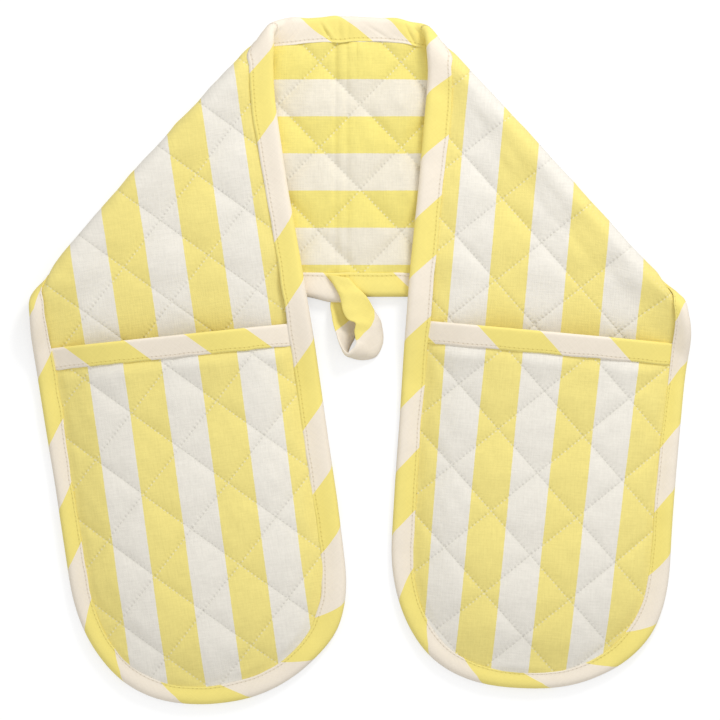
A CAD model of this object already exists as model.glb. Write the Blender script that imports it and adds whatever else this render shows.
"""The looks of the double oven glove: quilted strip, hand pockets, bias binding and tape loop.

Shapes are written in strip coordinates, as the solids are: `along` is the distance from the
crease at the strip's middle line, positive on the arm, `across` is the distance from that
middle line, and `rise` is the height above the strip's front face.  `place_strip` carries them
through the fold.  All lengths are in metres, with Z up.
"""

import math
from collections import namedtuple

import bpy
import numpy as np
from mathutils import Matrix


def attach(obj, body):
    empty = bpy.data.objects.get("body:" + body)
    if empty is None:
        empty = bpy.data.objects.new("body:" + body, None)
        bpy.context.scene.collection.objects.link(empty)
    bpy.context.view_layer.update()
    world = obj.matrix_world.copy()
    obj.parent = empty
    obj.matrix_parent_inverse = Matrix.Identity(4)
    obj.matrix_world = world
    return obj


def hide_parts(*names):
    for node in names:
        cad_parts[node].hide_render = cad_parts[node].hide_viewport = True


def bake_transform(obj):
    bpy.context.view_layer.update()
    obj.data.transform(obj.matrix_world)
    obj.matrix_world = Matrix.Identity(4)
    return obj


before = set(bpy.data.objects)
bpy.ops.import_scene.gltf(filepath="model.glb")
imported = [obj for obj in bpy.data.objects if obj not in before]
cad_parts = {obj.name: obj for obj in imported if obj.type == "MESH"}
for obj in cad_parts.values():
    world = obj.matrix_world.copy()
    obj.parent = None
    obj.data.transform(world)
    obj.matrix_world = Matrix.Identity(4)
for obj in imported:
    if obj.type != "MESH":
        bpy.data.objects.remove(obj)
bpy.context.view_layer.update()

bl_info = {
    "name": "Double Oven Glove",
    "version": (1, 0, 0),
    "blender": (4, 5, 0),
    "location": "3D View > Sidebar > Oven Glove",
    "description": "Dresses the double oven glove in quilted cloth, bias binding and stitching",
    "category": "Object",
}

# The strip and its folds, as the solids have them.
STRIP_HALF_WIDTH = 0.0877
STRIP_THICKNESS = 0.007
HALF_THICKNESS = STRIP_THICKNESS / 2
STRAP_CENTRE_Y = 0.1282
STRAP_LOW_Y = STRAP_CENTRE_Y - STRIP_HALF_WIDTH
END_LENGTH = 0.0914
DIAMOND_LENGTH = 0.0515
DIAMOND_WIDTH = 0.0535
DIAMOND_SIDE = 0.0371
LATTICE_SLOPE = math.hypot(1 / DIAMOND_LENGTH, 1 / DIAMOND_WIDTH)
STRIPE_STEP = 0.0235
BAND_STEP = 0.0390
EDGE_LIFT = 0.0011
LAYER_GAP = 0.0003
BORDER_HALF = 0.00225
BINDING_WIDTH = 0.0140
BINDING_MIDDLE = BINDING_WIDTH / 2
BINDING_EDGE = STRIP_HALF_WIDTH - BINDING_MIDDLE
BORDER_INSET = BINDING_WIDTH + LAYER_GAP
FOLD_INNER_RADIUS = 0.0020
FOLD_FALL_LENGTH = 0.0240
FOLD_BEND_END = -0.0248
FOLD_BEND_HEIGHT = 0.0075
FOLD_SAMPLES = 120
DROP_LENGTH = 0.0600
ARM_BASE = 0.0079
POCKET_THICKNESS = 0.0055
POCKET_CHANNEL_THICKNESS = 0.0034
ARM_UNDER_POCKET = 0.0050
POCKET_HOLLOW = 0.0076
POCKET_SIDE_RUN = 0.0500
MOUTH_GAPE = 0.0032
MOUTH_GAPE_LENGTH = 0.0700
PRESS_START = 0.0450
PRESS_END = 0.0200
PRESS_RUN = 0.0220
# How the outline is drawn in at the folds, and where the arms start to lean.
PULL_SLIDES = (-0.120, -0.090, -0.055, -0.020, 0.015, 0.080, 0.100, 0.115, 0.130, 0.150)
PULL_REACH = 0.0200
LEAN_START = 0.17
LEAN_RUN = 0.14
FOLD_LEAN_RUN = 0.03
# Where along the arm's edge, from the fold at its inner side round the end, a side's `widths`
# and `bulge` give the tape's width and how far the edge stands out, in millimetres.
EDGE_RUNS = (
    0, 0.05, 0.1, 0.15, 0.2, 0.25, 0.3, 0.335, 0.36, 0.38, 0.4, 0.42, 0.45, 0.48, 0.5, 0.52,
    0.54, 0.57, 0.6, 0.65, 0.7, 0.73, 0.76,
)
EDGE_SAMPLES = 300
END_SAMPLES = 240
EDGE_EASE = 0.008
BULGE_DEPTH = 0.012
# Where the quilt comes up beside the binding, and how its wadding rounds and lumps.
QUILT_BORDER_DROP = 0.0005
RAMP_START = 0.0114
HIDDEN_RAMP_START = 0.0145
LINE_ROUNDING = 0.0009
CROWN_REACH = 0.0186
LUMP_SIZE = 0.016
# Ramps are given as where they start and how long they are, and bells as middle and reach.
# Over the travel through the fold: the strap's quilting turns into the arm's, the relief passes
# from one face to the other, the cloth is stretched, and the stitches along the fold are hidden.
LATTICE_RAMP = (-0.016, 0.014)
FACE_RAMP = (-0.013, 0.011)
STRETCH_BELL = (0.003, 0.015)
STRETCH_SHARE = 0.85
HIDDEN_STITCH_BELL = (0.002, 0.009)
# Where the binding is drawn in at the fold's outer end, where the underside's stripes pass from
# one arm's to the other's, and where a pocket's stripes start to drift.
CORNER_RAMP = (0.05, 0.03)
UNDERSIDE_RAMP = (-0.1, 0.2)
DRIFT_START = 0.05
DRIFT_RUN = 0.134
# The tape: the points round its rim, where across it its faces fall to the lips, and its waver,
# which fades away from the inner edge.
RIM_SAMPLES = 11
TAPE_FALL_SHARES = (0.35, 0.55)
INSET_WAVE_FADE = 1.3
INSET_WAVE = 0.018
LIFT_WAVE = 0.024
LIFT_WAVE_SHARE = 0.06
# The strap's upper edge: how much further the tape is turned over it everywhere, beside the
# folds and at the joining tuck, how its swells end, and how its bands slant at the tuck.
TOP_TURN = 0.0018
TOP_TURN_ASIDE = 0.0014
TOP_MIDDLE_X = 0.002
TOP_ASIDE_RAMP = (0.015, 0.03)
TOP_TURN_TUCK = 0.0010
TOP_TUCK_BELL = (-0.011, 0.008)
TOP_SHOWN_SHARES = (0.55, 0.45)
TOP_SWELL_END_RAMP = (0.002, 0.006)
TUCK_SLANT_SHARE = 0.5
TUCK_SLANT_BELL = (-0.014, 0.024)
# A tuck's ridge beside its crease, as shares of the crease's depth and half width: height, way
# aside and reach.
TUCK_RIDGE_SHARES = (0.6, 3.2, 2.2)
TUCK_END_RAMP = (0.0115, 0.0030)
# The strap's lower edge: how far it sags between the arms, and its bulge at the loop's root.
LOW_SAG = 0.0011
LOW_SAG_RAMP = (-0.060, 0.03)
ROOT_BULGE = 0.0036
ROOT_LEFT_RAMP = (-0.034, 0.020)
ROOT_RIGHT_RAMP = (-0.001, 0.010)
ROOT_SWELL_SHARE = 0.10
# The mouth's tape, pressed where it runs in under the arm's binding.
MOUTH_LIP_RISE = 0.00003
MOUTH_PRESS_RUN = 0.0035
MOUTH_PRESS_LIFT = 0.0003
MOUTH_PRESS_SHARE = 0.42
MOUTH_SLOPE_SHARE = 0.94
# How far in the pieces start, how long their rows are before they are cut into steps, and how
# many steps of the strap's mesh one of the arms' mesh is.
STRAP_INSET = ARM_INSET = 0.0020
POCKET_INSET = 0.0025
POCKET_START = 0.0020
MOUTH_TAPE_INSET = 0.0065
STRAP_RUN = 0.41
TAPE_STRAIGHT_RUN = 0.30
TAPE_TURN_RUN = 0.19
ARM_STEP = 1.15

Side = namedtuple(
    "Side",
    "name sign crease_x slant arm_length pocket_length mouth_slant lattice pocket_lattice"
    " stripes pocket_stripes pocket_drift flips start_yellow mouth_flips mouth_start_yellow"
    " pull lean corner_draw end_power widths bulge",
)
LEFT = Side(
    "left", -1, -0.1328, math.radians(49.1), 0.3470, 0.2326, math.radians(2.3),
    (0.0422, 0.0032), (0.1590, -0.0315),
    (-0.0547, -0.0320, -0.0082, 0.0154, 0.0394, 0.0630),
    (-0.0548, -0.0324, -0.0087, 0.0146, 0.0389, 0.0619),
    (-0.0005, -0.0011, -0.0013, -0.0015, -0.0017, -0.0022),
    (0.0186, 0.0642, 0.1281, 0.1694, 0.2074, 0.2474, 0.2885, 0.3265, 0.3714, 0.4097, 0.4529,
     0.4929, 0.5300, 0.5661, 0.6033, 0.6410, 0.6814, 0.7244, 0.7658),
    False, (-0.0603, -0.0216, 0.0161, 0.0540), False,
    (0.0048, 0.0045, 0.0033, 0.0022, 0.0010, 0.0010, 0.0025, 0.0032, 0.0018, 0),
    (0, -0.0020), (0.0002, 0.0030, 0.0090), 2.22,
    (18.6, 17.7, 15.7, 15, 14.9, 15.3, 15.5, 15.9, 15.4, 14.2, 12.4, 11.9, 11.6, 10.1, 9.7,
     9.4, 9.9, 11.7, 12, 11.5, 12.6, 11.8, 9.5),
    (0, -2.6, -2.5, -0.7, 0.4, 0.2, -0.4, -1.9, 0.2, 1.6, -0.8, -0.9, 0.3, 0.2, 1.2, 1.4, 0.4,
     -0.2, -0.5, -1.2, -0.3, 0, 0),
)
RIGHT = Side(
    "right", 1, 0.1280, math.radians(47.45), 0.3360, 0.2248, math.radians(-0.3),
    (0.0564, 0.0079), (0.1746, 0.0252),
    (-0.0561, -0.0331, -0.0088, 0.0151, 0.0386, 0.0622),
    (-0.0578, -0.0340, -0.0102, 0.0145, 0.0378, 0.0619),
    (0.0048, 0.0025, 0.0030, 0.0013, 0.0020, -0.0015),
    (0.0028, 0.0354, 0.0757, 0.1138, 0.1512, 0.1898, 0.2331, 0.2728, 0.3121, 0.3503, 0.3862,
     0.4211, 0.4606, 0.5027, 0.5373, 0.5793, 0.6205, 0.6610, 0.7007, 0.7425),
    True, (-0.0465, -0.0032, 0.0362, 0.0760), True,
    (0.0066, 0.0064, 0.0062, 0.0060, 0.0062, 0.0066, 0.0062, 0.0052, 0.0024, 0),
    (0.0012, 0.0028), (-0.0025, 0.0160, 0.0140), 2.4,
    (18.6, 15.4, 14.3, 14, 13.7, 13.4, 13.4, 13.1, 11.7, 10.6, 9.5, 9.3, 9.2, 9.9, 11.4, 12.4,
     13.2, 12.9, 12.5, 11.6, 10, 10.2, 9),
    (0, 1.2, 1.2, 2.2, 1.7, 0.4, 0.6, 0.7, 0.1, 0.5, 1.7, 1.5, 0.3, -1.2, -2.1, -1, 0.4, -0.2,
     -0.4, 0.3, 0.6, 0, 0),
)
SIDES = (LEFT, RIGHT)
STRAP_LATTICE = (-0.0239, 0.0052)
STRAP_STRIPES = (-0.0687, -0.0454, -0.02205, 0.0013, 0.0246, 0.0479)
STRAP_TOP_FLIPS = (-0.1100, -0.0700, -0.0280, 0.0003, 0.0283, 0.0640, 0.1020)
STRAP_LOW_FLIPS = (-0.170, -0.131, -0.092, -0.053, -0.0135, 0.0305, 0.073, 0.112, 0.151, 0.190)
# Creases across the strap from its packing: where, half width and depth.
PACKING_CREASES = ((-0.0140, 0.0018, 0.0009), (-0.0068, 0.0018, 0.0007))
# Where the tape of the strap's upper edge stands out: the place, its reach and the amount.
TOP_SWELLS = ((-0.0445, 0.0080, 0.0021), (-0.0148, 0.0055, 0.0007), (0.0285, 0.0085, 0.0018))
# Creases of the joining tuck in the strap's upper binding: where one starts, as x and inset,
# its slant, depth and half width, and the inset and half length of its deepest part.
TUCK_CREASES = (
    (-0.0217, 0.0064, 0.78, 0.0010, 0.0008, 0.0082, 0.0038),
    (-0.0360, 0.0033, -1.12, 0.0005, 0.0013, 0.0085, 0.0050),
    (0.0335, 0.0033, 0.51, 0.0007, 0.0012, 0.0090, 0.0055),
    (-0.0118, 0.0050, 0.10, 0.0004, 0.0013, 0.0080, 0.0050),
    (-0.0058, 0.0050, -0.05, 0.0005, 0.0013, 0.0080, 0.0050),
    (0.0080, 0.0060, 1.90, 0.0003, 0.0016, 0.0090, 0.0040),
)
# The loop's tape, as pairs of points on its two edges: the edge that runs round the outside on
# the table, then the one that stands up inside it.  Millimetres from the middle of the row.
LOOP_EDGES = (
    (-5.1, 50.9, 7.9, -18.9, 53.2, 7.9),
    (-0.5, 45.7, 8.6, -14.7, 46.2, 8.8),
    (5.8, 39.4, 8.4, -11.0, 38.9, 10.2),
    (10.5, 31.5, 5.2, -9.2, 30.5, 12.0),
    (14.2, 25.2, 2.4, -5.8, 25.2, 12.6),
    (15.8, 19.9, 1.3, -1.5, 22.8, 12.2),
    (16.3, 15.2, 1.1, -2.0, 17.8, 11.2),
    (15.5, 8.9, 1.1, -1.2, 12.9, 11.0),
    (11.8, 2.1, 1.1, -0.8, 11.0, 11.4),
    (5.2, -0.1, 1.1, -2.0, 7.9, 12.0),
    (-1.6, 1.1, 1.1, -4.1, 5.2, 12.5),
    (-5.8, 3.7, 1.1, -6.6, 3.9, 12.9),
    (-5.2, 7.3, 1.1, -9.2, 6.5, 12.4),
    (-2.6, 11.5, 1.1, -11.8, 11.5, 11.0),
    (-0.5, 16.3, 1.3, -13.5, 16.3, 9.6),
    (-0.5, 21.5, 1.7, -15.0, 21.5, 8.0),
    (-3.2, 26.8, 2.4, -16.3, 27.8, 6.2),
    (-6.8, 32.0, 3.0, -17.1, 34.1, 4.4),
    (-7.9, 37.2, 3.2, -16.3, 39.4, 3.4),
)
LOOP_STATIONS = 150
LOOP_SECTION_SAMPLES = 17
LOOP_SECTION_POWER = 6
LOOP_HALF_EDGE = 0.00005
LOOP_WAVE = 0.012
LOOP_WAVE_HEIGHT = 0.0003
# Its bands change at these keys on the outer edge, and so much later on the inner one; before
# the first change and after the last a band is so many keys long.
LOOP_FLIPS = ((3, 4.3), (16, -1.7))
LOOP_CREAM_BAND = 22
LOOP_FIRST_BAND = 9
LOOP_LAST_BAND = 6
# Far enough from an edge for the material to draw no stitches.
LOOP_REST = 0.02
# The stage.
FLOOR_HALF_SIZE = 3.0
LAMP_SIZE = 0.3
LAMP_PLACE = (0.42, 0.90, 0.70)
CAMERA_PLACE = (0.001575, -0.0003)
CAMERA_REACH = 20.0


# Shape maths.


def smooth(share):
    """Smooth step of a share: 0 below 0, 1 above 1, level at both ends."""
    share = np.clip(share, 0, 1)
    return share * share * (3 - 2 * share)


def rising(value, start, run):
    """Smooth step of a value: 0 up to the start and 1 from a run past it."""
    return smooth((value - start) / run)


def bell(value, middle, reach):
    """Bell curve: 1 at the middle and 1/e a reach away from it."""
    return np.exp(-(((value - middle) / reach) ** 2))


def mixed(first, second, share):
    """The first value at share 0, the second at 1, straight between."""
    return first + (second - first) * share


def path_lengths(*parts):
    """Distance along a path to each of its points, whose coordinates come one by one."""
    return np.concatenate([[0], np.cumsum(np.linalg.norm(np.diff(parts), axis=0))])


def fold_section():
    """The strip's middle surface round a fold, as (travel, place, height, tilt) samples.

    Half a circle turns the strip over, and a smooth step then lets it down to the arm.  Travel
    runs along the cloth, and place is measured square to the crease and outward.
    """
    radius = FOLD_INNER_RADIUS + HALF_THICKNESS
    turn = np.linspace(0, math.pi, FOLD_SAMPLES)
    run = np.linspace(0, 1, FOLD_SAMPLES)[1:]
    top = HALF_THICKNESS + 2 * radius
    fall = (top - ARM_BASE - HALF_THICKNESS) * smooth(run)
    place = np.concatenate([radius * np.sin(turn), -FOLD_FALL_LENGTH * run])
    height = np.concatenate([HALF_THICKNESS + radius * (1 - np.cos(turn)), top - fall])
    travel = path_lengths(place, height)
    offset = (travel[-1] - FOLD_FALL_LENGTH) / 2
    tilt = np.unwrap(np.arctan2(-np.gradient(height, travel), np.gradient(place, travel)))
    tilt[[0, -1]] = 0, -math.pi
    return travel - offset, place - offset, height, tilt


SECTION_TRAVEL, SECTION_PLACE, SECTION_HEIGHT, SECTION_TILT = fold_section()
STRAP_SEAM = SECTION_TRAVEL[0]
ARM_SEAM = SECTION_TRAVEL[-1]
TURN_END = SECTION_TRAVEL[FOLD_SAMPLES - 1]
SILHOUETTE_TRAVEL = (STRAP_SEAM + TURN_END) / 2
SILHOUETTE_PLACE = SECTION_PLACE.max() + HALF_THICKNESS


def along_on(side, x):
    """The `along` on one side's half of the strap at an x of the table."""
    return side.sign * (x - side.crease_x)


def travel_of(side, along, across):
    """Distance past the crease, square to it, of a point of the flat strip."""
    return along * math.sin(side.slant) + across * math.cos(side.slant)


def silhouette(side, across):
    """The `along` of the outermost line of the fold."""
    return (SILHOUETTE_TRAVEL - across * math.cos(side.slant)) / math.sin(side.slant)


def strap_span(across, share):
    """Places x on the strap, by their share of the way from one silhouette to the other."""
    low, high = (side.crease_x + side.sign * silhouette(side, across) for side in SIDES)
    return mixed(low, high, share)


def mouth_of(side, across):
    """The `along` of the pocket's mouth."""
    return side.arm_length - side.pocket_length + across * math.tan(side.mouth_slant)


def half_turns(side, count):
    """Shares of a rounded end, (forward, across), from the +across side to the -across side."""
    turn = np.linspace(math.pi / 2, -math.pi / 2, count)
    power = 2 / side.end_power
    forward = np.abs(np.cos(turn)) ** power
    forward[[0, -1]] = 0
    return forward, np.sign(np.sin(turn)) * np.abs(np.sin(turn)) ** power


def end_shares(side, along, across):
    """How far into the rounded end and how far across, as shares of the end's two lengths."""
    forward = np.maximum(along - (side.arm_length - END_LENGTH), 0) / END_LENGTH
    return forward, across / STRIP_HALF_WIDTH


def inset_of(side, along, across):
    """Distance in from the arm's edge, measured on outlines of one shape."""
    forward, sideways = end_shares(side, along, across)
    power = side.end_power
    return STRIP_HALF_WIDTH * (1 - (forward**power + np.abs(sideways) ** power) ** (1 / power))


def edge_turn(side, count):
    """Shares of a rounded end, with the distance to each along the edge tape's middle line."""
    forward, sideways = half_turns(side, count)
    shrink = BINDING_EDGE / STRIP_HALF_WIDTH
    lengths = path_lengths(END_LENGTH * shrink * forward, BINDING_EDGE * sideways)
    return forward, sideways, lengths


def run_of(side, along, across):
    """Distance along the edge tape's middle line to the point of it that lies outward of here."""
    straight = side.arm_length - END_LENGTH
    forward, sideways, lengths = edge_turn(side, END_SAMPLES)
    ahead, aside = end_shares(side, along, across)
    turned = np.interp(-np.arctan2(aside, ahead), -np.arctan2(sideways, forward), lengths)
    back = np.sign(across) * np.minimum(along - straight, 0)
    return straight - silhouette(side, BINDING_EDGE) + turned + back


def edge_value(side, values, along, across):
    """A value in metres that is given in millimetres along the arm's edge, eased by a bell."""
    fine = np.linspace(EDGE_RUNS[0], EDGE_RUNS[-1], EDGE_SAMPLES)
    weights = bell(fine[:, None], fine, EDGE_EASE)
    eased = weights @ np.interp(fine, EDGE_RUNS, values) / weights.sum(axis=1)
    return np.interp(run_of(side, along, across), fine, eased) / 1000


def tape_width(side, along, across):
    """Width of the tape that shows beside a point of the arm; the full one on the strap."""
    width = edge_value(side, side.widths, along, across)
    return mixed(BINDING_WIDTH, width, smooth(travel_of(side, along, across) / EDGE_EASE))


def tape_inset(side, along, across):
    """Distance in from the arm's edge, stretched as if the tape there had its full width."""
    width = tape_width(side, along, across)
    return inset_of(side, along, across) * BINDING_WIDTH / width


def outward_of(side, along, across):
    """Unit direction to the arm's edge, as its (along, across) parts: from the end's centre."""
    forward, sideways = end_shares(side, along, across)
    size = np.maximum(np.hypot(forward, sideways), 1e-6)
    return forward / size, sideways / size


def bulged(side, along, across):
    """Strip coordinates moved outward by the edge's bulge, which fades inward and at the fold."""
    inset = np.maximum(inset_of(side, along, across), 0)
    amount = edge_value(side, side.bulge, along, across) * np.exp(-inset / BULGE_DEPTH)
    amount = amount * smooth(travel_of(side, along, across) / PULL_REACH)
    forward, sideways = outward_of(side, along, across)
    return along + amount * forward, across + amount * sideways


def pull_of(side, slide, place):
    """How far the fold is drawn in, square to the crease: a bell across it, uneven along it."""
    return np.interp(slide, PULL_SLIDES, side.pull) * bell(place, 0, PULL_REACH)


def lean_of(side, along, travel):
    """How far the arm leans outward: smooth steps, one past the fold and one down the arm."""
    first, second = side.lean
    past_fold = first * smooth(travel / FOLD_LEAN_RUN)
    return past_fold + second * rising(along, LEAN_START, LEAN_RUN)


def bent_place(travel):
    """Distance outward from the crease of the strip's middle surface, at a travel."""
    place = np.interp(travel, SECTION_TRAVEL, SECTION_PLACE)
    return place + np.minimum(travel - STRAP_SEAM, 0) - np.maximum(travel - ARM_SEAM, 0)


def seen_at(side, along, across):
    """Where the arm's pattern is read: at the place over which the cloth's face has come to lie,
    so that the stripes and lines of the arm run straight up to the fold's outline."""
    sine, cosine = math.sin(side.slant), math.cos(side.slant)
    travel = travel_of(side, along, across)
    past = np.maximum(travel, SILHOUETTE_TRAVEL)
    tilt = np.interp(past, SECTION_TRAVEL, SECTION_TILT)
    face = bent_place(past) - HALF_THICKNESS * np.sin(tilt)
    moved = pull_of(side, along * cosine - across * sine, face) - face - past
    moved = moved * bell(travel, past, PULL_REACH)
    return along + moved * sine, across + moved * cosine - lean_of(side, along, travel)


def place_strip(side, along, across, rise):
    """World positions of strip points: bent by the fold's section, then laid on the table."""
    along, across, rise = np.broadcast_arrays(along, across, rise)
    along, across = bulged(side, along, across)
    sine, cosine = math.sin(side.slant), math.cos(side.slant)
    travel = travel_of(side, along, across)
    slide = along * cosine - across * sine
    tilt = np.interp(travel, SECTION_TRAVEL, SECTION_TILT)
    out = rise - HALF_THICKNESS
    place = bent_place(travel) + out * np.sin(tilt)
    place = place - pull_of(side, slide, place)
    x = side.crease_x + side.sign * (slide * cosine + place * sine)
    y = STRAP_CENTRE_Y - slide * sine + place * cosine
    height = np.interp(travel, SECTION_TRAVEL, SECTION_HEIGHT) + out * np.cos(tilt)
    settled = rising(travel, TURN_END, ARM_SEAM - TURN_END)
    z = height - ARM_BASE * settled * smooth((STRAP_LOW_Y - y) / DROP_LENGTH)
    # The bulky binding is drawn in or bulges where it turns over the outer end of the fold.
    draw, middle, reach = side.corner_draw
    corner = draw * bell(travel, middle, reach) * rising(-across, *CORNER_RAMP)
    x = x + side.sign * (lean_of(side, along, travel) - corner)
    return np.stack([x, y, np.maximum(z, 0)], axis=-1)


def place_strap(x, across, rise):
    """World positions of strap points: each half goes through the fold on its own side."""
    x, across, rise = np.broadcast_arrays(x, across, rise)
    halves = (place_strip(side, along_on(side, x), across, rise) for side in SIDES)
    return np.where((x < 0)[..., None], *halves)


def ripple(first, second, size, seed, waves=9):
    """Smooth unevenness within about -1 to 1: a sum of sine waves of random headings."""
    chance = np.random.default_rng(seed)
    total = 0
    for _ in range(waves):
        heading = chance.uniform(0, 2 * math.pi)
        number = 2 * math.pi / (size * chance.uniform(0.6, 1.7))
        phase = chance.uniform(0, 2 * math.pi)
        distance = first * math.cos(heading) + second * math.sin(heading)
        total = total + np.sin(number * distance + phase)
    return total / math.sqrt(waves)


def lattice_of(along, across, node):
    """Two coordinates of the quilting that are whole numbers on its two sets of lines."""
    forward = (along - node[0]) / DIAMOND_LENGTH
    sideways = (across - node[1]) / DIAMOND_WIDTH
    return forward + sideways, forward - sideways


def strip_lattice(side, along, across):
    """The strip's quilting: the strap's lattice, eased into the arm's inside the fold."""
    strap = lattice_of(along, across, (along_on(side, STRAP_LATTICE[0]), STRAP_LATTICE[1]))
    arm = lattice_of(*seen_at(side, along, across), side.lattice)
    share = rising(travel_of(side, along, across), *LATTICE_RAMP)
    return [
        mixed(one + np.round((other - one).flat[0]), other, share)
        for one, other in zip(strap, arm)
    ]


def crown_of(first, second, softness):
    """Puffed diamonds: the product of a pillow on each set of lines, 0 on them and near 1 in the
    open, where distance from the nearest line runs through a rounded corner and a fall-off."""
    crown = 1
    for coordinate in (first, second):
        distance = np.abs(coordinate - np.round(coordinate)) / LATTICE_SLOPE
        crown = crown * pillow(distance, softness)
    return crown / pillow(CROWN_REACH, softness) ** 2


def pillow(distance, softness):
    """Height of the wadding beside a stitched line: 0 on it, near 1 in the open."""
    rounded = np.sqrt(distance**2 + LINE_ROUNDING**2) - LINE_ROUNDING
    return 1 - np.exp(-rounded / softness)


def relief_faces(inset, crown, uneven, front_share, look):
    """Rises of the strip's two faces: pulled in along the lines, crowned between them.

    The face that shows takes the whole relief, and the other one only shallow channels.
    """
    ramp = rising(inset, RAMP_START, look.border_ramp)
    dip = look.channel_depth * (1 - crown)
    shallow = ramp * dip * look.hidden_share
    shown = ramp * (dip - look.crown_puff * crown - look.unevenness * uneven)
    border = EDGE_LIFT + QUILT_BORDER_DROP
    front = border * (1 - ramp) + mixed(shallow, shown, front_share)
    # The arm's hidden face stays low for longer, clear of the tape inside the fold.
    late = rising(inset, HIDDEN_RAMP_START, look.border_ramp)
    back = mixed(shown, shallow, front_share) + border * (1 - mixed(ramp, late, front_share))
    return front, STRIP_THICKNESS - back


def strip_faces(side, along, across, look, seed):
    """Rises of the front and back faces of the strip near one fold, with its lattice."""
    first, second = strip_lattice(side, along, across)
    crown = crown_of(first, second, look.softness)
    uneven = ripple(along, across, LUMP_SIZE, seed) * crown
    travel = travel_of(side, along, across)
    share = rising(travel, *FACE_RAMP)
    # Cloth that is stretched round the fold keeps its channels shallow.
    crown = mixed(crown, 1, STRETCH_SHARE * bell(travel, *STRETCH_BELL))
    front, back = relief_faces(tape_inset(side, along, across), crown, uneven, share, look)
    return front, back, first, second


def pressed_rise(side, along, across):
    """Rise of the arm's face where the pocket lies on it: thin at the border, fuller inside."""
    border = STRIP_THICKNESS - EDGE_LIFT - BORDER_HALF
    inset = inset_of(side, along, across)
    share = rising(inset, BORDER_INSET, PRESS_RUN)
    return mixed(border, STRIP_THICKNESS - ARM_UNDER_POCKET, share)


def arm_faces(side, along, across, look):
    """Rises of the arm's faces: the strip's, pressed flat where the pocket lies on it."""
    front, back, first, second = strip_faces(side, along, across, look, 11 + side.sign)
    depth = along - mouth_of(side, across)
    under = rising(depth, -PRESS_START, PRESS_START - PRESS_END)
    return mixed(front, pressed_rise(side, along, across), under), back, first, second


def pocket_faces(side, along, across, look):
    """Rises of the pocket's outer face and lining, which stand off the arm by the hollow."""
    depth = along - mouth_of(side, across)
    inset = inset_of(side, along, across)
    side_share = np.clip((inset - BORDER_INSET) / POCKET_SIDE_RUN, 0, 1)
    gape = MOUTH_GAPE * (1 - smooth(depth / MOUTH_GAPE_LENGTH))
    hollow = (POCKET_HOLLOW + gape) * (1 - (1 - side_share) ** 2)
    inner = pressed_rise(side, along, across) - LAYER_GAP - hollow
    first, second = lattice_of(*seen_at(side, along, across), side.pocket_lattice)
    crown = crown_of(first, second, look.softness)
    uneven = ripple(along, across, LUMP_SIZE, 21 + side.sign) * crown
    full = mixed(POCKET_CHANNEL_THICKNESS, POCKET_THICKNESS, crown) + look.unevenness * uneven
    ramp = rising(tape_inset(side, along, across), RAMP_START, look.border_ramp)
    ramp = ramp * rising(depth, RAMP_START, look.border_ramp)
    return inner - mixed(BORDER_HALF - QUILT_BORDER_DROP, full, ramp), inner, first, second


def numbered(positions, edges, step):
    """Numbers that are whole at the edges, from 21 up, and run on past both ends by a step."""
    number = np.interp(positions, edges, np.arange(21, len(edges) + 21))
    number = number + np.minimum(positions - edges[0], 0) / step
    return number + np.maximum(positions - edges[-1], 0) / step


def bands_of(positions, flips, start_yellow=False):
    """Band number of the tape: whole at its flips, even numbers on cream."""
    return numbered(positions, flips, BAND_STEP) + start_yellow


def stripes_of(across, edges):
    """Stripe number across the cloth: whole at the edges, odd numbers on yellow."""
    return numbered(across, edges, STRIPE_STEP) + 1


# Mesh making.


def stack(*values):
    """Values that fit one shape, side by side on the last axis of one array."""
    return np.stack(np.broadcast_arrays(*values), axis=-1)


def build_piece(name, points, faces, flat, maps, material):
    """An object of quads whose normals point outward, with one UV map for each entry of maps."""
    one, two, three, four = (points[faces[:, corner]] for corner in range(4))
    if (one * (np.cross(two, three) + np.cross(three, four))).sum() < 0:
        faces = faces[:, ::-1]
    mesh = bpy.data.meshes.new(name)
    mesh.from_pydata(points.tolist(), [], faces.tolist())
    smooth_faces = np.ones(len(faces), dtype=bool)
    smooth_faces[flat] = False
    mesh.polygons.foreach_set("use_smooth", smooth_faces)
    for label, values in maps.items():
        layer = mesh.uv_layers.new(name=label)
        layer.data.foreach_set("uv", values[faces.ravel()].astype(np.float32).ravel())
    mesh.materials.append(material)
    mesh.update()
    piece = bpy.data.objects.new(name, mesh)
    bpy.context.scene.collection.objects.link(piece)
    return piece


def grid_quads(rows, columns, start=0):
    """Quads of a grid of points that are numbered row by row."""
    number = np.arange(rows * columns).reshape(rows, columns) + start
    corners = (number[:-1, :-1], number[:-1, 1:], number[1:, 1:], number[1:, :-1])
    return np.stack(corners, axis=-1).reshape(-1, 4)


def build_shell(name, front, back, maps, material, back_maps=None):
    """A closed shell between two grids of points, joined all round their borders.

    The second grid has the first one's maps, apart from those in back_maps.
    """
    rows, columns = front.shape[:2]
    count = rows * columns
    number = np.arange(count).reshape(rows, columns)
    loop = np.concatenate([number[0, :-1], number[:-1, -1], number[-1, :0:-1], number[:0:-1, 0]])
    after = np.roll(loop, -1)
    rim = np.stack([after, loop, loop + count, after + count], axis=-1)
    sheets = [grid_quads(rows, columns), grid_quads(rows, columns, count)[:, ::-1]]
    faces = np.concatenate([*sheets, rim])
    flat = np.arange(len(faces) - len(rim), len(faces))
    points = np.concatenate([front.reshape(-1, 3), back.reshape(-1, 3)])
    other = maps | (back_maps or {})
    doubled = {
        label: np.concatenate([values.reshape(-1, 2), other[label].reshape(-1, 2)])
        for label, values in maps.items()
    }
    return build_piece(name, points, faces, flat, doubled, material)


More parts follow.
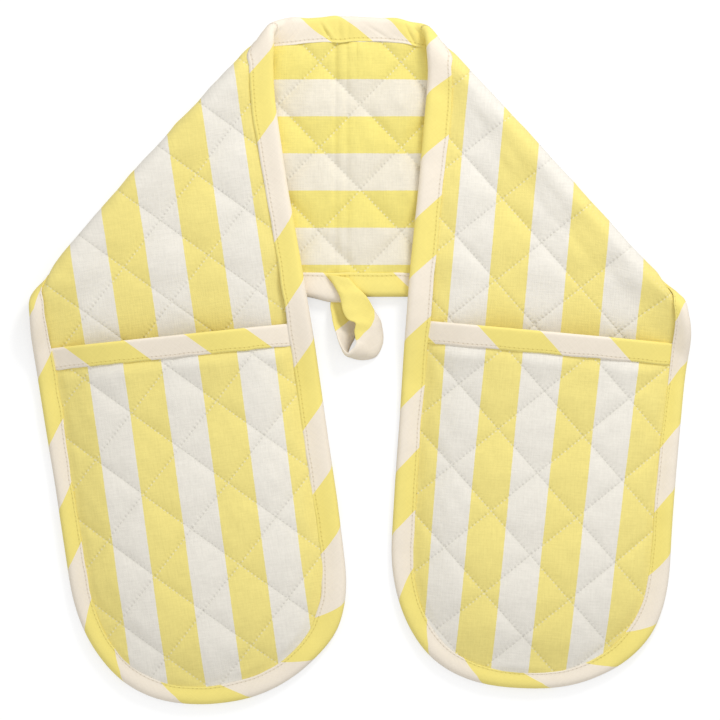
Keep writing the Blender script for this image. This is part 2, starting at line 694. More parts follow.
def build_tape(name, rings, run, rest, bands):
    """A closed tape: profiles carried along a path, each one a loop of outer then inner skin.

    Its maps are metres along it and from its nearer inner edge, and the band number.
    """
    stations, around = rings.shape[:2]
    number = np.arange(stations * around).reshape(stations, around)
    after = np.roll(number, -1, axis=1)
    sides = np.stack([number[:-1], after[:-1], after[1:], number[1:]], axis=-1).reshape(-1, 4)
    half = np.arange(around // 2 - 1)
    cap = np.stack([half, half + 1, around - 2 - half, around - 1 - half], axis=-1)
    last = cap[:, ::-1] + (stations - 1) * around
    faces = np.concatenate([sides, cap[:, ::-1], last[:, ::-1]])
    maps = {"cloth": stack(run, rest), "bands": stack(bands, rest)}
    maps = {label: values.reshape(-1, 2) for label, values in maps.items()}
    flat = np.arange(len(sides), len(faces))
    return build_piece(name, rings.reshape(-1, 3), faces, flat, maps, materials()["banded_tape"])


# Materials.


class Signal:
    """A socket of a material; Python's operators on it add Math nodes."""

    def __init__(self, wires, socket):
        self.wires = wires
        self.socket = socket

    def other(self, output):
        """Another output of the same node."""
        return Signal(self.wires, self.socket.node.outputs[output])

    def math(self, operation, *others, swap=False):
        """A Math node on this signal and the others; swap puts this one second."""
        terms = (*others, self) if swap else (self, *others)
        return self.wires.node("ShaderNodeMath", {"operation": operation}, dict(enumerate(terms)))

    def __add__(self, other):
        return self.math("ADD", other)

    def __sub__(self, other):
        return self.math("SUBTRACT", other)

    def __rsub__(self, other):
        return self.math("SUBTRACT", other, swap=True)

    def __mul__(self, other):
        return self.math("MULTIPLY", other)

    def __truediv__(self, other):
        return self.math("DIVIDE", other)

    def __abs__(self):
        return self.math("ABSOLUTE")

    __radd__ = __add__
    __rmul__ = __mul__


class Wires:
    """The nodes of one material or world."""

    def __init__(self, owner):
        owner.use_nodes = True
        self.tree = owner.node_tree
        self.tree.nodes.clear()

    def node(self, kind, settings=None, inputs=None, output=0):
        """Adds a node: its settings first, then the values or links of its sockets."""
        made = self.tree.nodes.new(kind)
        for label, value in (settings or {}).items():
            setattr(made, label, value)
        for label, value in (inputs or {}).items():
            if isinstance(value, Signal):
                self.tree.links.new(value.socket, made.inputs[label])
            else:
                made.inputs[label].default_value = value
        return Signal(self, made.outputs[output]) if len(made.outputs) else None

    def split(self, vector):
        """The x and the y of a vector."""
        first = self.node("ShaderNodeSeparateXYZ", None, {0: vector})
        return first, first.other(1)

    def uv(self, label):
        """A UV map of the piece as (vector, x, y)."""
        vector = self.node("ShaderNodeUVMap", {"uv_map": label})
        return (vector, *self.split(vector))

    def noise(self, vector, first, second, detail=1.0, roughness=0.5):
        """Noise from 0 to 1 with so many grains in a metre of the vector's x and y."""
        scaled = self.node(
            "ShaderNodeVectorMath", {"operation": "MULTIPLY"}, {0: vector, 1: (first, second, 1)}
        )
        return self.node(
            "ShaderNodeTexNoise", {"noise_dimensions": "3D"},
            {"Vector": scaled, "Scale": 1.0, "Detail": detail, "Roughness": roughness},
        )

    def step(self, value, low, high):
        """Smooth step of a value from 0 at low to 1 at high."""
        return self.node(
            "ShaderNodeMapRange", {"interpolation_type": "SMOOTHSTEP"},
            {"Value": value, "From Min": low, "From Max": high, "To Min": 0.0, "To Max": 1.0},
        )

    def mix(self, share, first, second, blend="MIX"):
        """One colour over another by a share."""
        return self.node(
            "ShaderNodeMix", {"data_type": "RGBA", "blend_type": blend},
            {0: share, 6: first, 7: second}, output=2,
        )

    def two_tone(self, number, even, odd, shade):
        """Two colours by turns as a number grows, times a shade, as (share of odd, colour)."""
        share = number.math("FLOOR").math("MODULO", 2.0)
        return share, self.mix(1.0, self.mix(share, even, odd), shade, "MULTIPLY")

    def woven(self, vector, ground, look, grains, shades, lifts):
        """A plain weave whose warp and weft take turns on top, as (shade, lift).

        The yarns' mottle, wide patches and fine flecks move the shade from 1 by the shades;
        mottle and flecks raise the cloth by the lifts.  Grains are patches and flecks a metre.
        """
        half_turn = math.pi / look.yarn_pitch
        warp, weft = ((part * half_turn).math("SINE") for part in self.split(vector))
        mottle = (self.noise(vector, 90, 1150) + self.noise(vector, 1150, 90)) * 0.5 - 0.5
        patch = self.noise(ground, grains[0], grains[0], 3.0) - 0.5
        fleck = self.noise(ground, grains[1], grains[1], 3.0, 0.7) - 0.5
        shade = mottle * shades[0] + patch * shades[1] + fleck * shades[2] + 1.0
        weave = (warp * weft * 0.5 + 0.5) * look.yarn_height
        return shade, weave + mottle * lifts[0] + fleck * lifts[1]

    def finish(self, colour, height, roughness, sheen):
        """A cloth surface of that colour, raised by a height in metres."""
        normal = self.node(
            "ShaderNodeBump", None, {"Height": height, "Distance": 1.0, "Strength": 1.0}
        )
        surface = self.node(
            "ShaderNodeBsdfPrincipled", None,
            {
                "Base Color": colour, "Roughness": roughness, "Normal": normal,
                "Specular IOR Level": 0.25, "Sheen Weight": sheen, "Sheen Roughness": 0.5,
            },
        )
        self.node("ShaderNodeOutputMaterial", None, {"Surface": surface})


def colour_of(value):
    """A colour property with an opaque alpha, for a socket."""
    return (*value[:3], 1.0)


def striped_cloth(name, look, white, yellow):
    """Woven cloth in two colours of stripe, quilted: pulled in, holed and stitched on the lines."""
    wires = Wires(bpy.data.materials.new(name))
    vector = wires.uv("cloth")[0]
    _, stripe, hidden = wires.uv("bands")
    _, first, second = wires.uv("lattice")
    shade, lift = wires.woven(
        vector, vector, look, (28, 420), (0.24, 0.06, 0.14), (0.00018, 0.00012)
    )
    fray = (wires.noise(vector, 900, 900) - 0.5) * 0.02
    _, colour = wires.two_tone(stripe + fray, colour_of(white), colour_of(yellow), shade)
    threads = holes = creases = puckers = 0.0
    turns = 2 * math.pi * DIAMOND_SIDE / look.stitch_length
    shown = 1.0 - hidden.math("MINIMUM", 1.0)
    for crossing, running, share in ((first, second, shown), (second, first, 1.0)):
        beat = (running * turns).math("SINE")
        wavy = crossing + beat * (look.stitch_waver * LATTICE_SLOPE)
        distance = abs(wavy - wavy.math("ROUND")) / LATTICE_SLOPE
        near = (1.0 - wires.step(distance, 0.0001, 0.0007)) * share
        wide = (1.0 - wires.step(distance, 0.0002, 0.0036)) * share
        threads = near * (1.0 - wires.step(beat, -0.85, -0.1)) + threads
        holes = near * wires.step(beat, 0.55, 0.95) + holes
        puckers = wide * (beat * 0.5 + 0.5) + puckers
        creases = (distance * (-1 / look.crease_width)).math("EXPONENT") * share + creases
    dark = holes.math("MINIMUM", 1.0) * look.hole_strength
    colour = wires.mix(dark, colour, (0.62, 0.60, 0.56, 1.0), "MULTIPLY")
    sewn = threads.math("MINIMUM", 1.0) * look.thread_strength
    colour = wires.mix(sewn, colour, colour_of(look.thread))
    lift = lift - holes * 0.00008 + threads * 0.00005 - puckers * look.pucker
    wires.finish(colour, lift - creases * look.crease_depth, 0.88, 0.12)


def bias_tape(name, look):
    """Smooth tape in slanting bands of two colours, with a stitched line near its inner edge."""
    wires = Wires(bpy.data.materials.new(name))
    vector, run, rest = wires.uv("cloth")
    band = wires.uv("bands")[1]
    turned = wires.node(
        "ShaderNodeVectorRotate", {"rotation_type": "Z_AXIS"},
        {"Vector": vector, "Angle": math.radians(45)},
    )
    shade, lift = wires.woven(
        turned, vector, look, (34, 500), (0.12, 0.05, 0.05), (0.0001, 0.00006)
    )
    yellow, colour = wires.two_tone(band, colour_of(look.cream), colour_of(look.yellow), shade)
    distance = abs(rest - look.stitch_inset)
    beat = (run * (2 * math.pi / look.stitch_length)).math("SINE")
    near = 1.0 - wires.step(distance, 0.00015, 0.0006)
    hole = near * wires.step(beat, 0.3, 0.95)
    thread = near * (1.0 - wires.step(beat, 0.0, 0.6))
    pull = (1.0 - wires.step(distance, 0.0003, 0.0030)) * (beat * 0.5 + 0.5)
    groove = (near * 0.5 + hole * 0.5) * look.hole_strength
    colour = wires.mix(groove, colour, (0.70, 0.64, 0.52, 1.0), "MULTIPLY")
    lip = (1.0 - wires.step(rest, 0.0003, 0.0009)) * look.lip_strength
    bright = wires.mix(yellow, (0.99, 0.97, 0.90, 1.0), (0.98, 0.88, 0.36, 1.0))
    colour = wires.mix(lip, colour, bright)
    lift = lift - (hole + near) * 0.0001 + thread * 0.00008 + pull * look.pucker
    wires.finish(colour, lift, 0.82, 0.08)


def materials():
    """The shared materials by name, made on first use."""
    if "banded_tape" not in bpy.data.materials:
        quilt = bpy.context.scene.glove_quilt
        striped_cloth("quilted_stripes", quilt, quilt.white, quilt.yellow)
        striped_cloth("quilted_stripes_back", quilt, quilt.back_white, quilt.back_yellow)
        bias_tape("banded_tape", bpy.context.scene.glove_tape)
    return bpy.data.materials


# Settings.


def setting(name, description, default, top, low=0.0, **more):
    """A number that the user can change, between two limits."""
    return bpy.props.FloatProperty(
        name=name, description=description, default=default, min=low, max=top, **more
    )


def length(name, description, default, top, low=0.0):
    """A number of metres."""
    return setting(name, description, default, top, low, precision=5, unit="LENGTH")


def factor(name, description, default):
    """A share from 0 to 1."""
    return setting(name, description, default, 1.0, subtype="FACTOR")


def tint(name, description, default):
    """A colour that the user can change."""
    return bpy.props.FloatVectorProperty(
        name=name, description=description, default=default, size=3, min=0.0, max=1.0,
        subtype="COLOR",
    )


class QuiltSettings(bpy.types.PropertyGroup):
    """Sizes and colours of the quilted cloth."""

    channel_depth: length(
        "Channel Depth", "How far the stitched lines pull the quilt in", 0.0021, 0.005
    )
    crown_puff: length(
        "Crown Puff", "How far the diamonds stand up between the lines", 0.0006, 0.003
    )
    softness: length("Softness", "Width of the slope beside a stitched line", 0.0058, 0.02, 0.001)
    unevenness: length("Unevenness", "Height of the wadding's lumps", 0.00030, 0.002)
    border_ramp: length(
        "Border Ramp", "Distance from the binding to the full quilt", 0.010, 0.04, 0.002
    )
    hidden_share: factor("Hidden Share", "Depth of the channels on the side that rests", 0.35)
    mesh_step: length("Mesh Step", "Distance between the cloth's points", 0.0016, 0.01, 0.0008)
    yarn_pitch: length("Yarn Pitch", "Distance between two yarns", 0.00075, 0.003, 0.0002)
    yarn_height: length("Yarn Height", "Height of the weave", 0.00002, 0.001)
    stitch_length: length("Stitch Length", "Length of one quilting stitch", 0.0027, 0.01, 0.001)
    stitch_waver: length("Stitch Waver", "How far each stitch scallops its line", 0.00022, 0.001)
    hole_strength: factor("Hole Strength", "How dark the needle's holes are", 0.25)
    pucker: length("Pucker", "Height of the small pulls beside each stitch", 0.00007, 0.001)
    crease_depth: length("Crease Depth", "Depth of the crease along a line", 0.00045, 0.002)
    crease_width: length("Crease Width", "Width of the crease along a line", 0.0016, 0.01, 0.0002)
    thread: tint("Thread", "Colour of the quilting thread", (0.90, 0.87, 0.74))
    thread_strength: factor("Thread Strength", "How plainly the thread shows", 0.55)
    yellow: tint("Yellow", "Colour of the yellow stripes", (0.90, 0.77, 0.255))
    back_yellow: tint("Back Yellow", "The back cloth's yellow stripes", (0.89, 0.77, 0.225))
    back_white: tint("Back White", "The back cloth's white stripes", (0.86, 0.80, 0.665))
    white: tint("White", "Colour of the white stripes", (0.86, 0.82, 0.735))


class TapeSettings(bpy.types.PropertyGroup):
    """Sizes and colours of the bias tape."""

    thickness: length("Thickness", "Thickness of the folded tape", 0.0008, 0.003, 0.0002)
    pinch: length("Pinch", "How far the stitched line pulls the tape in", 0.00018, 0.003)
    lip_drop: length("Lip Drop", "How far the tape falls to its inner edge", 0.00075, 0.003)
    band_slope: setting("Band Slope", "Slant of the bands across the tape", 1.15, 2.0, -2.0)
    unevenness: length("Unevenness", "Waver of the tape's edge and height", 0.00022, 0.002)
    mesh_step: length("Mesh Step", "Distance between the tape's stations", 0.0020, 0.01, 0.0008)
    stitch_inset: length(
        "Stitch Inset", "Distance of the stitches from the inner edge", 0.0019, 0.01, 0.0005
    )
    stitch_length: length("Stitch Length", "Length of one stitch", 0.0029, 0.01, 0.001)
    hole_strength: factor("Hole Strength", "How dark the needle's holes are", 0.55)
    yarn_pitch: length("Yarn Pitch", "Distance between two yarns", 0.0005, 0.003, 0.0002)
    yarn_height: length("Yarn Height", "Height of the weave", 0.00004, 0.001)
    pucker: length("Pucker", "Height of the small pulls beside each stitch", 0.00006, 0.001)
    loop_thickness: length("Loop Thickness", "Thickness of the loop", 0.0020, 0.005, 0.0005)
    loop_cup: length("Loop Cup", "How far the loop's tape bows", 0.0010, 0.004, -0.004)
    lip_strength: factor("Lip Strength", "How bright the turned lip of the tape is", 0.22)
    cream: tint("Cream", "Colour of the cream bands", (0.922, 0.831, 0.70))
    yellow: tint("Yellow", "Colour of the yellow bands", (0.94, 0.80, 0.235))


class StageSettings(bpy.types.PropertyGroup):
    """Camera, lamps and floor."""

    view_width: length("View Width", "Width that the camera sees on the table", 0.4536, 5.0, 0.1)
    camera_height: length("Camera Height", "Height over the table", 2.2, 10.0, 0.5)
    key_power: setting("Key Power", "Power of the main lamp", 6.0, 1000.0, unit="POWER")
    sky_level: setting("Sky Level", "Brightness of the light from all round", 0.745, 2.0)
    floor: tint("Floor", "Colour of the floor", (0.50, 0.50, 0.50))
    floor_glow: setting("Floor Glow", "White added where the floor is looked at", 0.60, 2.0)


# Pieces.


def strip_maps(along, across, stripes, lattice, hidden=0.0):
    """The cloth's UV maps: metres along and across, stripe number with how far the stitches
    along the fold are hidden, and the lattice."""
    bands = stack(stripes, hidden + 0 * along)
    return {"cloth": stack(along, across), "bands": bands, "lattice": stack(*lattice)}


def fold_ends(side):
    """Start and end of the bend between strap and arm, at the outermost line of the fold."""
    normal = np.array([side.sign * math.sin(side.slant), math.cos(side.slant), 0])
    middle = np.array([side.crease_x, STRAP_CENTRE_Y, FOLD_BEND_HEIGHT])
    start = SILHOUETTE_PLACE - max(side.pull)
    return tuple(middle + normal * start), tuple(middle + normal * FOLD_BEND_END)


def arm_grid(side, inset, step, start_depth=None):
    """Strip coordinates of a grid over the arm inside its edge, from a start line to the end.

    The columns run along the arm and close up towards both edges; the rows share out each
    column evenly between the start line, the fold or the pocket's mouth, and the rounded end.
    """
    forward, sideways = half_turns(side, int(2 * STRIP_HALF_WIDTH / step) + 1)
    scale = 1 - inset / STRIP_HALF_WIDTH
    across = STRIP_HALF_WIDTH * scale * sideways
    end = side.arm_length - END_LENGTH + END_LENGTH * scale * forward
    if start_depth is None:
        start = silhouette(side, across)
    else:
        start = mouth_of(side, across) + start_depth
    rows = int((end.max() - start.min()) / step) + 1
    return mixed(start, end, np.linspace(0, 1, rows)[:, None]), across


class GLOVE_OT_strap(bpy.types.Operator):
    """Makes the quilted strap between the two folds."""

    bl_idname = "glove.strap"
    bl_label = "Strap"

    def execute(self, context):
        look = context.scene.glove_quilt
        reach = STRIP_HALF_WIDTH - STRAP_INSET
        across = np.linspace(reach, -reach, int(2 * reach / look.mesh_step))[:, None]
        x = strap_span(across, np.linspace(0, 1, int(STRAP_RUN / look.mesh_step)))
        places = [(side, along_on(side, x), across) for side in SIDES]
        left, right = (strip_faces(*place, look, 31) for place in places)
        # The left side's two sets of lines swap places and run the other way on the strap.
        shifts = [np.round((left[n] + right[n]).mean()) for n in (2, 3)]
        left = (*left[:2], shifts[0] - left[3], shifts[1] - left[2])
        front, back, *lattice = np.where(x < 0, left, right)
        for place, half_width, depth in PACKING_CREASES:
            back = back - depth * bell(x, place, half_width)
        # The underside's stripes run on from one arm's to the other's.
        under = (stripes_of(seen_at(*place)[1], place[0].stripes) for place in places)
        under = mixed(*under, rising(x, *UNDERSIDE_RAMP))
        piece = build_shell(
            "strap_quilt", place_strap(x, across, back), place_strap(x, across, front),
            strip_maps(x, across, stripes_of(across, STRAP_STRIPES), lattice),
            materials()["quilted_stripes_back"], {"bands": stack(under, 0.0)},
        )
        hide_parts("strap_front_cloth", "strap_wadding", "strap_back_cloth")
        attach(piece, "strap")
        return {"FINISHED"}


class GLOVE_OT_arms(bpy.types.Operator):
    """Makes both quilted arms, each with the upper half of its fold."""

    bl_idname = "glove.arms"
    bl_label = "Arms"

    def execute(self, context):
        look = context.scene.glove_quilt
        for side in SIDES:
            along, across = arm_grid(side, ARM_INSET, look.mesh_step * ARM_STEP)
            front, back, *lattice = arm_faces(side, along, across, look)
            stripes = stripes_of(seen_at(side, along, across)[1], side.stripes)
            hidden = bell(travel_of(side, along, across), *HIDDEN_STITCH_BELL)
            under = stripes_of(across, STRAP_STRIPES)
            piece = build_shell(
                f"{side.name}_arm_quilt", place_strip(side, along, across, front),
                place_strip(side, along, across, back),
                strip_maps(along, across, stripes, lattice, hidden),
                materials()["quilted_stripes"], {"bands": stack(under, 0 * along)},
            )
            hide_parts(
                *(f"{side.name}_{part}_{layer}" for part in ("fold", "arm")
                  for layer in ("front_cloth", "wadding", "back_cloth")),
            )
            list(fold_ends(side))
            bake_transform(piece)
        return {"FINISHED"}


class GLOVE_OT_pockets(bpy.types.Operator):
    """Makes both quilted hand pockets."""

    bl_idname = "glove.pockets"
    bl_label = "Pockets"

    def execute(self, context):
        look = context.scene.glove_quilt
        for side in SIDES:
            along, across = arm_grid(side, POCKET_INSET, look.mesh_step, POCKET_START)
            outer, inner, *lattice = pocket_faces(side, along, across, look)
            # The stripes drift down the pocket by the amounts that each of their edges has.
            drift = np.interp(across, side.pocket_stripes, side.pocket_drift)
            drift = drift * (along - mouth_of(side, across) - DRIFT_START) / DRIFT_RUN
            stripes = stripes_of(seen_at(side, along, across)[1] - drift, side.pocket_stripes)
            piece = build_shell(
                f"{side.name}_pocket_quilt", place_strip(side, along, across, outer),
                place_strip(side, along, across, inner),
                strip_maps(along, across, stripes, lattice), materials()["quilted_stripes"],
            )
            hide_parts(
                *(f"{side.name}_pocket_{layer}" for layer in ("outer_cloth", "wadding", "lining")),
            )
            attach(piece, f"{side.name}_arm")
        return {"FINISHED"}


def tape_section(look, half_thickness, lip_half, samples=8):
    """Outer and inner skin of a tape folded round an edge, as (inset, lift, tape, rest) arrays.

    Lift is the height over the edge's middle plane, positive on the back.  The outer skin runs
    in from the front's inner edge, round half a circle at the rim, and out to the back's inner
    edge; the stitched line near each inner edge pulls it in.  The inner skin lies one tape
    thickness inside it.  Tape is the way along the skin, and rest that from the nearer edge.
    """
    stitched = BINDING_WIDTH - look.stitch_inset
    flat = np.linspace(BINDING_WIDTH, half_thickness, samples, endpoint=False)
    flat = np.sort([*flat, stitched])[::-1]
    drawn = rising(flat / BINDING_WIDTH, *TAPE_FALL_SHARES)
    lip = np.clip((flat - stitched) / look.stitch_inset, 0, 1)
    fall = half_thickness - lip_half
    height = half_thickness - fall * drawn - look.pinch * drawn * (1 - lip)
    turn = np.linspace(-math.pi / 2, math.pi / 2, RIM_SAMPLES)
    inset = np.concatenate([flat, half_thickness * (1 - np.cos(turn)), flat[::-1]])
    lift = np.concatenate([-height, half_thickness * np.sin(turn), height[::-1]])
    tangent = np.stack([np.gradient(inset), np.gradient(lift)])
    tangent = tangent / np.hypot(*tangent) * look.thickness
    inner_inset = inset + tangent[1]
    inner_inset[[0, -1]] = inset[[0, -1]]
    tape = path_lengths(inset, lift)
    tape = np.concatenate([tape, tape[::-1]])
    return (
        np.concatenate([inset, inner_inset[::-1]]),
        np.concatenate([lift, (lift - tangent[0])[::-1]]),
        tape, np.minimum(tape, tape.max() - tape),
    )


def uneven_tape(run, inset, lift, look, seed):
    """The section with a waver along its inner edge and in its height."""
    near = smooth(1 - INSET_WAVE_FADE * (1 - inset / BINDING_WIDTH))
    inset = inset + look.unevenness * near * ripple(run, run * 0, INSET_WAVE, seed)
    return inset, lift * (1 + LIFT_WAVE_SHARE * ripple(run, inset * 0, LIFT_WAVE, seed + 1))


def tuck_rise(x, inset):
    """Rise of the joining tuck: bells along slanting creases, each with a ridge on its right."""
    rise = 0
    height, aside, width = TUCK_RIDGE_SHARES
    for start, first_inset, slant, depth, reach, deepest, half_length in TUCK_CREASES:
        off = x - start - (inset - first_inset) * slant
        ridge = height * bell(off, aside * reach, width * reach)
        rise = rise + depth * (ridge - bell(off, 0, reach)) * bell(inset, deepest, half_length)
    return rise * (1 - rising(inset, *TUCK_END_RAMP))


def arm_edge(side, inset, step):
    """Strip coordinates of rows of the arm's edge tape, and the run of each point along it.

    The rows lead down the +across side from the fold, round the end, and back up to the fold.
    """
    straight = side.arm_length - END_LENGTH
    share = np.linspace(0, 1, int(TAPE_STRAIGHT_RUN / step))[:, None]
    forward, sideways, turn = edge_turn(side, int(TAPE_TURN_RUN / step))
    turn = turn[:, None]
    radius = STRIP_HALF_WIDTH - inset
    scale = radius / STRIP_HALF_WIDTH
    down = mixed(silhouette(side, radius), straight, share)
    back = mixed(silhouette(side, -radius), straight, share[::-1])
    along = [down, straight + END_LENGTH * scale * forward[1:-1, None], back]
    aside = [share * 0 + 1, sideways[1:-1, None], share * 0 - 1]
    # On the straights every point's own distance counts; the fold cuts them slanting.
    run = [down - straight, turn[1:-1] + 0 * inset, turn[-1] + straight - back]
    start = silhouette(side, BINDING_EDGE)
    return (
        np.concatenate(along), radius * np.concatenate(aside),
        straight - start + np.concatenate(run),
    )


def shape_top_edge(x, inset, tape):
    """How the tape stands out of the strap's upper edge, how it rises and how its bands slant."""
    # The tape is turned further over this edge, most of all beside the folds.
    wider = TOP_TURN + TOP_TURN_ASIDE * rising(np.abs(x - TOP_MIDDLE_X), *TOP_ASIDE_RAMP)
    wider = wider + TOP_TURN_TUCK * bell(x, *TOP_TUCK_BELL)
    shown = rising(tape / tape.max(), *TOP_SHOWN_SHARES)
    swell = sum(amount * bell(x, place, reach) for place, reach, amount in TOP_SWELLS)
    outset = swell * (1 - rising(inset, *TOP_SWELL_END_RAMP)) - wider * shown
    rise = tuck_rise(x, inset) * (tape > tape.max() / 2)
    return outset, 1, rise, 1 + TUCK_SLANT_SHARE * bell(x, *TUCK_SLANT_BELL)


def shape_low_edge(x, inset, tape):
    """The same for the lower edge, with the height's stretch: the tape sags out a little, and
    bulges where the loop's root pulls on it."""
    middle_part = rising(x, *LOW_SAG_RAMP) * rising(-x, *LOW_SAG_RAMP)
    bulge = rising(x, *ROOT_LEFT_RAMP) * rising(-x, *ROOT_RIGHT_RAMP)
    outset = (LOW_SAG * middle_part + ROOT_BULGE * bulge) * (1 - inset / BINDING_WIDTH)
    return np.where(inset < BINDING_WIDTH, outset, 0), 1 + ROOT_SWELL_SHARE * bulge, 0, -1


class GLOVE_OT_edge_bindings(bpy.types.Operator):
    """Makes the bias binding round the arms and along both edges of the strap."""

    bl_idname = "glove.edge_bindings"
    bl_label = "Edge Bindings"

    def execute(self, context):
        look = context.scene.glove_tape
        section = look, HALF_THICKNESS, HALF_THICKNESS - look.lip_drop
        inset, lift, tape, rest = tape_section(*section)
        for side in SIDES:
            along, across, run = arm_edge(side, inset, look.mesh_step)
            waved, raised = uneven_tape(run, inset, lift, look, 41 + side.sign)
            width = tape_width(side, along, across) - HALF_THICKNESS
            narrow = width / (BINDING_WIDTH - HALF_THICKNESS)
            inward = waved - inset + np.maximum(waved - HALF_THICKNESS, 0) * (narrow - 1)
            forward, sideways = outward_of(side, along, across)
            points = place_strip(
                side, along - forward * inward, across - sideways * inward,
                HALF_THICKNESS + raised,
            )
            lean = side.sign * look.band_slope * (tape - BINDING_MIDDLE)
            bands = bands_of(run - lean, side.flips, side.start_yellow)
            piece = build_tape(f"{side.name}_arm_binding_tape", points, run, rest, bands)
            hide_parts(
                f"{side.name}_arm_binding", f"{side.name}_fold_inner_binding",
                f"{side.name}_fold_outer_binding",
            )
            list(fold_ends(side))
            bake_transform(piece)
        for name, sign, flips, samples, fine, shape in (
            ("top", 1, STRAP_TOP_FLIPS, 22, 2.2, shape_top_edge),
            ("low", -1, STRAP_LOW_FLIPS, 8, 1.0, shape_low_edge),
        ):
            inset, lift, tape, rest = tape_section(*section, samples)
            across = sign * (STRIP_HALF_WIDTH - inset)
            span = (strap_span(across, 1) - strap_span(across, 0)).max()
            x = strap_span(across, np.linspace(0, 1, int(span / look.mesh_step * fine))[:, None])
            waved, raised = uneven_tape(x, inset, lift, look, 51 + sign)
            outset, stretch, rise, slant = shape(x, inset, tape)
            across = across + sign * (inset - waved + outset)
            points = place_strap(x, across, HALF_THICKNESS + raised * stretch + rise)
            # The back faces up here, so the bands lean from the back's inner edge.
            lean = (tape.max() - tape - BINDING_MIDDLE) * look.band_slope * slant
            bands = bands_of(x + lean, flips)
            piece = build_tape(f"strap_{name}_binding_tape", points, x, rest, bands)
            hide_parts(f"strap_{name}_binding")
            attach(piece, "strap")
        return {"FINISHED"}


class GLOVE_OT_mouth_bindings(bpy.types.Operator):
    """Makes the bias binding over the mouth of each pocket."""

    bl_idname = "glove.mouth_bindings"
    bl_label = "Mouth Bindings"

    def execute(self, context):
        look = context.scene.glove_tape
        half = BORDER_HALF / 2 + look.thickness
        inset, lift, tape, rest = tape_section(look, half, half + MOUTH_LIP_RISE)
        reach = STRIP_HALF_WIDTH - MOUTH_TAPE_INSET
        across = np.linspace(-reach, reach, int(2 * reach / look.mesh_step))[:, None]
        for side in SIDES:
            depth, raised = uneven_tape(across, inset, lift, look, 61 + side.sign)
            along = mouth_of(side, across) + depth
            inner = pocket_faces(side, along, across, context.scene.glove_quilt)[1]
            # Under the arm's binding the tape is pressed between it and the arm.
            covered = tape_width(side, along, across) - (STRIP_HALF_WIDTH - np.abs(across))
            pressed = smooth(covered / MOUTH_PRESS_RUN + 1)
            rise = inner - BORDER_HALF / 2 + MOUTH_PRESS_LIFT * pressed
            rise = rise + raised * (1 - MOUTH_PRESS_SHARE * pressed)
            lean = side.sign * (tape - BINDING_MIDDLE) * look.band_slope * MOUTH_SLOPE_SHARE
            bands = bands_of(
                seen_at(side, along, across)[1] - lean, side.mouth_flips, side.mouth_start_yellow
            )
            piece = build_tape(
                f"{side.name}_mouth_binding_tape", place_strip(side, along, across, rise),
                across, rest, bands,
            )
            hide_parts(f"{side.name}_mouth_binding")
            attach(piece, f"{side.name}_arm")
        return {"FINISHED"}


def catmull(keys, share):
    """Points on a smooth curve through keys: cubic blends of each four neighbouring keys."""
    index = np.clip(share.astype(int), 0, len(keys) - 2)
    part = (share - index)[:, None]
    ends = np.concatenate([[2 * keys[0] - keys[1]], keys, [2 * keys[-1] - keys[-2]]])
    one, two, three, four = (ends[index + n] for n in range(4))
    return 0.5 * (
        2 * two + (three - one) * part + (2 * one - 5 * two + 4 * three - four) * part**2
        + (3 * two - 3 * three + four - one) * part**3
    )


class GLOVE_OT_loop(bpy.types.Operator):
    """Makes the tape loop that the glove hangs from."""

    bl_idname = "glove.loop"
    bl_label = "Hanging Loop"

    def execute(self, context):
        look = context.scene.glove_tape
        keys = np.array(LOOP_EDGES) / 1000
        share = np.linspace(0, len(keys) - 1, LOOP_STATIONS)
        outside, inside = np.split(catmull(keys, share), 2, axis=1)
        middle = (outside + inside) / 2
        half_wide = (outside - inside) / 2
        normal = np.cross(np.gradient(middle, axis=0), half_wide)
        normal = normal / np.linalg.norm(normal, axis=1)[:, None]
        wide = np.cos(np.linspace(0, math.pi, LOOP_SECTION_SAMPLES))
        thick = np.sqrt(1 - np.abs(wide) ** LOOP_SECTION_POWER) * look.loop_thickness / 2
        thick = thick + LOOP_HALF_EDGE
        wide = np.concatenate([wide, wide[::-1]])
        cup = np.concatenate([thick, -thick[::-1]]) + look.loop_cup * (1 - wide**2)
        run = path_lengths(*middle.T)[:, None]
        lift = cup + LOOP_WAVE_HEIGHT * ripple(run, wide * 0.01, LOOP_WAVE, 71)
        rings = middle[:, None] + half_wide[:, None] * wide[:, None]
        rings = rings + normal[:, None] * lift[..., None]
        # The bands slant: each one changes later on the inner edge than on the outer one.
        lean = (1 - wide) / 2
        first, last = (outer + later * lean for outer, later in LOOP_FLIPS)
        before, after = share[:, None] - first, share[:, None] - last
        bands = LOOP_CREAM_BAND + before / np.where(before < 0, LOOP_FIRST_BAND, last - first)
        bands = np.where(after > 0, LOOP_CREAM_BAND + 1 + after / LOOP_LAST_BAND, bands)
        rest = LOOP_REST + wide * BINDING_MIDDLE
        piece = build_tape("hanging_loop_tape", rings, run, rest, bands)
        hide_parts("hanging_loop")
        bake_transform(piece)
        return {"FINISHED"}


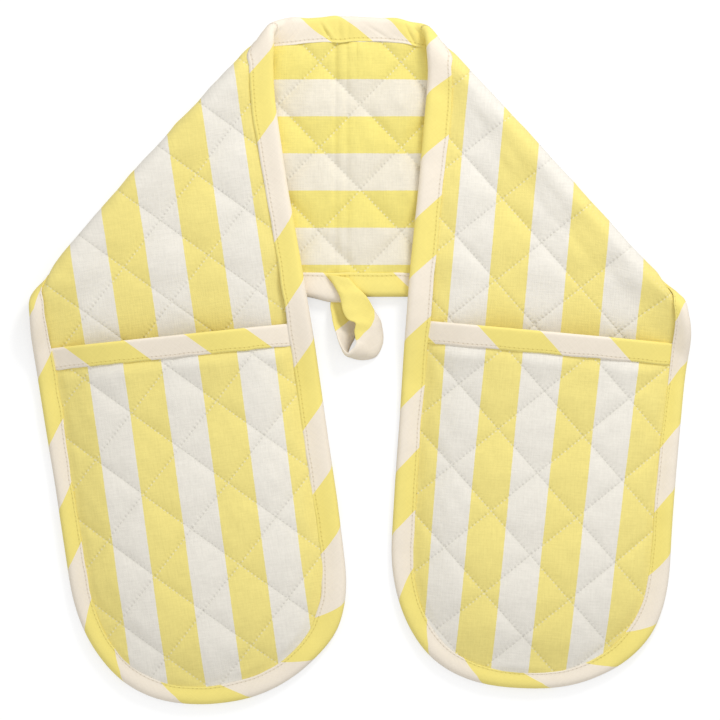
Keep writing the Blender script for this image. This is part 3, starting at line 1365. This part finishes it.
class GLOVE_OT_stage(bpy.types.Operator):
    """Makes the floor, the lamps and the camera straight above the table."""

    bl_idname = "glove.stage"
    bl_label = "Stage"

    def execute(self, context):
        scene = context.scene
        stage = scene.glove_stage
        mesh = bpy.data.meshes.new("floor")
        size = FLOOR_HALF_SIZE
        corners = ((-size, -size, 0), (size, -size, 0), (size, size, 0), (-size, size, 0))
        mesh.from_pydata(corners, [], [(0, 1, 2, 3)])
        floor = bpy.data.objects.new("floor", mesh)
        scene.collection.objects.link(floor)
        material = bpy.data.materials.new("floor")
        wires = Wires(material)
        ray = wires.node("ShaderNodeLightPath")
        seen = ray + ray.other("Is Glossy Ray") + ray.other("Is Transmission Ray")
        glow = wires.node(
            "ShaderNodeEmission", None,
            {"Color": (1, 1, 1, 1), "Strength": seen.math("MINIMUM", 1.0) * stage.floor_glow},
        )
        diffuse = wires.node("ShaderNodeBsdfDiffuse", None, {"Color": colour_of(stage.floor)})
        both = wires.node("ShaderNodeAddShader", None, {0: diffuse, 1: glow})
        wires.node("ShaderNodeOutputMaterial", None, {"Surface": both})
        mesh.materials.append(material)

        # The sky lights by its level, and is white where the camera looks at it.
        scene.world = bpy.data.worlds.new("studio")
        wires = Wires(scene.world)
        level = wires.node("ShaderNodeLightPath") * (1 - stage.sky_level) + stage.sky_level
        sky = wires.node(
            "ShaderNodeBackground", None, {"Color": (1, 1, 1, 1), "Strength": level}
        )
        wires.node("ShaderNodeOutputWorld", None, {"Surface": sky})

        lamp = bpy.data.lights.new("key", "AREA")
        lamp.energy = stage.key_power
        lamp.size = LAMP_SIZE
        key = bpy.data.objects.new("key", lamp)
        key.location = LAMP_PLACE
        key.rotation_euler = (-key.location).to_track_quat("-Z", "Y").to_euler()

        lens = bpy.data.cameras.new("camera")
        lens.lens = lens.sensor_width * stage.camera_height / stage.view_width
        lens.clip_end = CAMERA_REACH
        camera = bpy.data.objects.new("camera", lens)
        camera.location = (*CAMERA_PLACE, stage.camera_height)
        for made in (key, camera):
            scene.collection.objects.link(made)
        scene.camera = camera
        scene.view_settings.view_transform = "Standard"
        return {"FINISHED"}


class GLOVE_PT_panel(bpy.types.Panel):
    """The steps that dress the glove, in order."""

    bl_idname = "GLOVE_PT_panel"
    bl_label = "Oven Glove"
    bl_space_type = "VIEW_3D"
    bl_region_type = "UI"
    bl_category = "Oven Glove"

    def draw(self, context):
        for step in STEPS:
            self.layout.operator(step.bl_idname)
        for label in GROUPS:
            group = getattr(context.scene, label)
            box = self.layout.box()
            for field in group.__annotations__:
                box.prop(group, field)


STEPS = (
    GLOVE_OT_stage, GLOVE_OT_strap, GLOVE_OT_arms, GLOVE_OT_pockets, GLOVE_OT_edge_bindings,
    GLOVE_OT_mouth_bindings, GLOVE_OT_loop,
)
GROUPS = {
    "glove_quilt": QuiltSettings, "glove_tape": TapeSettings, "glove_stage": StageSettings,
}


def register():
    """Registers the settings, the steps and the panel."""
    for label, group in GROUPS.items():
        bpy.utils.register_class(group)
        setattr(bpy.types.Scene, label, bpy.props.PointerProperty(type=group))
    for step in (*STEPS, GLOVE_PT_panel):
        bpy.utils.register_class(step)


def unregister():
    """Takes the panel, the steps and the settings away again."""
    for step in reversed((*STEPS, GLOVE_PT_panel)):
        bpy.utils.unregister_class(step)
    for label, group in reversed(GROUPS.items()):
        delattr(bpy.types.Scene, label)
        bpy.utils.unregister_class(group)


def main():
    register()
    bpy.ops.glove.stage()
    bpy.ops.glove.strap()
    bpy.ops.glove.arms()
    bpy.ops.glove.pockets()
    bpy.ops.glove.edge_bindings()
    bpy.ops.glove.mouth_bindings()
    bpy.ops.glove.loop()


if __name__ == "__main__":
    main()
